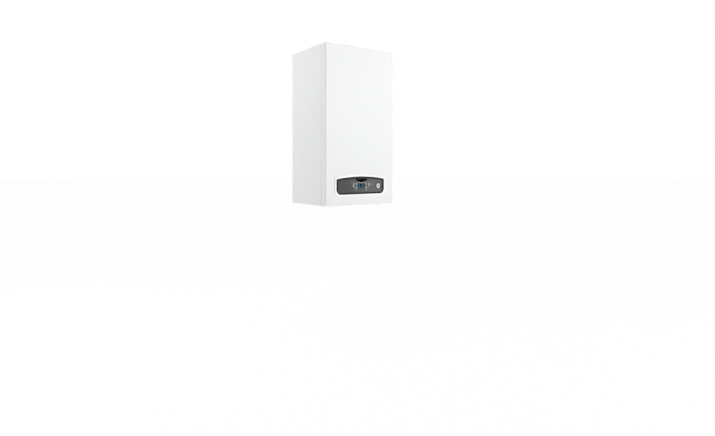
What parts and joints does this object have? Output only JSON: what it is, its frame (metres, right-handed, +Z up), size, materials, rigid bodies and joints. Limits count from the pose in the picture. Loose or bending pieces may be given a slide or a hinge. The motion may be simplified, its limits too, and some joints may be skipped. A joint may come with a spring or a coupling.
{
  "type": "condensing boiler",
  "caption": "Wall-hung gas condensing boiler in a white steel case with an arched control panel below, a tilting control box and a top flue collar.",
  "frame": {"origin": "midway between the centres of the two hanging slots, on the plane of the wall", "axes": "+X to the right as seen from the front, +Y into the wall, +Z up"},
  "size_m": [0.4, 0.3125, 0.783],
  "materials": {
    "casing_white": "satin powder coat",
    "galvanised": "galvanised sheet with a fine spangle",
    "plated": "zinc plated",
    "surround_white": "semi-gloss moulding",
    "fascia_dark": "fine spark-eroded grain",
    "overlay_grey": "printed satin film",
    "key_light": "smooth satin",
    "display_black": "smoked and glossy",
    "clear": "clear and polished",
    "gauge_case": "white dial and case",
    "needle_dark": "printed black",
    "box_plastic": "moulded, flat",
    "board_green": "lacquered laminate with components",
    "chamber_steel": "galvanised and spot welded",
    "foam_dark": "closed-cell foam",
    "stainless": "welded stainless, heat tinted",
    "cast_aluminium": "sand-blasted casting",
    "burner_steel": "perforated and heat stained",
    "ceramic_white": "glazed sleeve",
    "black_plastic": "glass-filled moulding",
    "motor_black": "electrophoretic coat",
    "valve_grey": "die cast",
    "copper": "drawn tube with a light patina",
    "gas_yellow": "thin paint",
    "brass": "machined and tumbled",
    "vessel_red": "gloss enamel",
    "hose_grey": "smooth extruded",
    "flue_white": "moulded polypropylene",
    "knob_red": "smooth moulding",
    "trap_grey": "translucent moulding"
  },
  "bodies": {
    "chassis": {"back_frame": "galvanised", "left_side_panel": "casing_white", "right_side_panel": "casing_white", "top_panel": "casing_white", "bottom_plate": "galvanised", "chamber_body": "chamber_steel", "chamber_seal": "foam_dark", "heat_exchanger": "stainless", "burner_door": "cast_aluminium", "door_nuts": "plated", "burner": "burner_steel", "electrodes": "ceramic_white", "fan_housing": "cast_aluminium", "fan_motor": "motor_black", "mixture_duct": "cast_aluminium", "gas_air_mixer": "black_plastic", "air_silencer": "black_plastic", "gas_valve": "valve_grey", "gas_pipe": "gas_yellow", "spark_unit": "black_plastic", "flue_pipe": "flue_white", "flue_collar": "flue_white", "expansion_vessel": "vessel_red", "vessel_hose": "hose_grey", "pipe_tails": "brass", "water_pipes": "copper", "flow_block": "brass", "diverter_motor": "black_plastic", "safety_valve": "brass", "pump_body": "black_plastic", "pump_motor": "motor_black", "air_vent": "brass", "condensate_trap": "trap_grey", "condensate_hose": "hose_grey"},
    "cover": {"front_cover": "casing_white", "panel_surround": "surround_white", "cover_screws": "plated"},
    "control_panel": {"control_box": "box_plastic", "fascia": "fascia_dark", "fascia_overlay": "overlay_grey", "display": "display_black", "clear_windows": "clear", "gauge_body": "gauge_case", "circuit_board": "board_green"},
    "needle": {"gauge_needle": "needle_dark"},
    "mode_button": {"mode_key": "key_light"},
    "upper_left_button": {"upper_left_key": "key_light"},
    "lower_left_button": {"lower_left_key": "key_light"},
    "upper_right_button": {"upper_right_key": "key_light"},
    "lower_right_button": {"lower_right_key": "key_light"},
    "chamber_lid": {"chamber_cover": "chamber_steel", "chamber_screws": "plated"},
    "fan_wheel": {"fan_impeller": "cast_aluminium"},
    "pump_wheel": {"pump_rotor": "black_plastic"},
    "diverter": {"diverter_spindle": "brass"},
    "relief_handle": {"relief_knob": "knob_red"},
    "drain_handle": {"drain_knob": "black_plastic"},
    "vent_lid": {"vent_cap": "black_plastic"},
    "trap_bowl": {"trap_cup": "trap_grey"},
    "test_plug": {"test_cap": "flue_white"}
  },
  "joints": [
    {"name": "front_cover_pull", "type": "slide", "parent": "chassis", "child": "cover", "axis": [0, -1, 0], "range_m": [0, 0.35]},
    {"name": "control_box_tilt", "type": "hinge", "parent": "chassis", "child": "control_panel", "pos_m": [0, -0.285, -0.674], "axis": [1, 0, 0], "range_deg": [0, 80]},
    {"name": "chamber_cover_pull", "type": "slide", "parent": "chassis", "child": "chamber_lid", "axis": [0, -1, 0], "range_m": [0, 0.18]},
    {"name": "gauge_needle_turn", "type": "hinge", "parent": "control_panel", "child": "needle", "pos_m": [0.1066, -0.307, -0.6247], "axis": [0, 1, 0], "range_deg": [0, 270]},
    {"name": "fan_spin", "type": "hinge", "parent": "chassis", "child": "fan_wheel", "pos_m": [-0.062, -0.19, -0.456], "axis": [0, -1, 0], "continuous": true},
    {"name": "pump_spin", "type": "hinge", "parent": "chassis", "child": "pump_wheel", "pos_m": [0.112, -0.13, -0.628], "axis": [0, -1, 0], "continuous": true},
    {"name": "diverter_lift", "type": "slide", "parent": "chassis", "child": "diverter", "axis": [0, 0, 1], "range_m": [0, 0.008]},
    {"name": "relief_knob_turn", "type": "hinge", "parent": "chassis", "child": "relief_handle", "pos_m": [-0.108, -0.198, -0.646], "axis": [0, -1, 0], "range_deg": [0, 90]},
    {"name": "drain_knob_turn", "type": "hinge", "parent": "chassis", "child": "drain_handle", "pos_m": [0.065, -0.163, -0.672], "axis": [0, -1, 0], "range_deg": [0, 270]},
    {"name": "vent_cap_turn", "type": "hinge", "parent": "chassis", "child": "vent_lid", "pos_m": [0.128, -0.12, -0.542], "axis": [0, 0, 1], "range_deg": [0, 360]},
    {"name": "trap_cup_pull", "type": "slide", "parent": "chassis", "child": "trap_bowl", "axis": [0, 0, -1], "range_m": [0, 0.05]},
    {"name": "test_cap_pull", "type": "slide", "parent": "chassis", "child": "test_plug", "axis": [0, -1, 0], "range_m": [0, 0.03]},
    {"name": "mode_key_press", "type": "slide", "parent": "control_panel", "child": "mode_button", "axis": [0, 1, 0], "range_m": [0, 0.001], "stiffness_N_per_m": 400},
    {"name": "upper_left_key_press", "type": "slide", "parent": "control_panel", "child": "upper_left_button", "axis": [0, 1, 0], "range_m": [0, 0.001], "stiffness_N_per_m": 400},
    {"name": "lower_left_key_press", "type": "slide", "parent": "control_panel", "child": "lower_left_button", "axis": [0, 1, 0], "range_m": [0, 0.001], "stiffness_N_per_m": 400},
    {"name": "upper_right_key_press", "type": "slide", "parent": "control_panel", "child": "upper_right_button", "axis": [0, 1, 0], "range_m": [0, 0.001], "stiffness_N_per_m": 400},
    {"name": "lower_right_key_press", "type": "slide", "parent": "control_panel", "child": "lower_right_button", "axis": [0, 1, 0], "range_m": [0, 0.001], "stiffness_N_per_m": 400}
  ],
  "couplings": [
    {"joint": "control_box_tilt", "follows": "front_cover_pull", "rad_per_m": 3.98},
    {"joint": "chamber_cover_pull", "follows": "front_cover_pull", "ratio": 0.5}
  ]
}
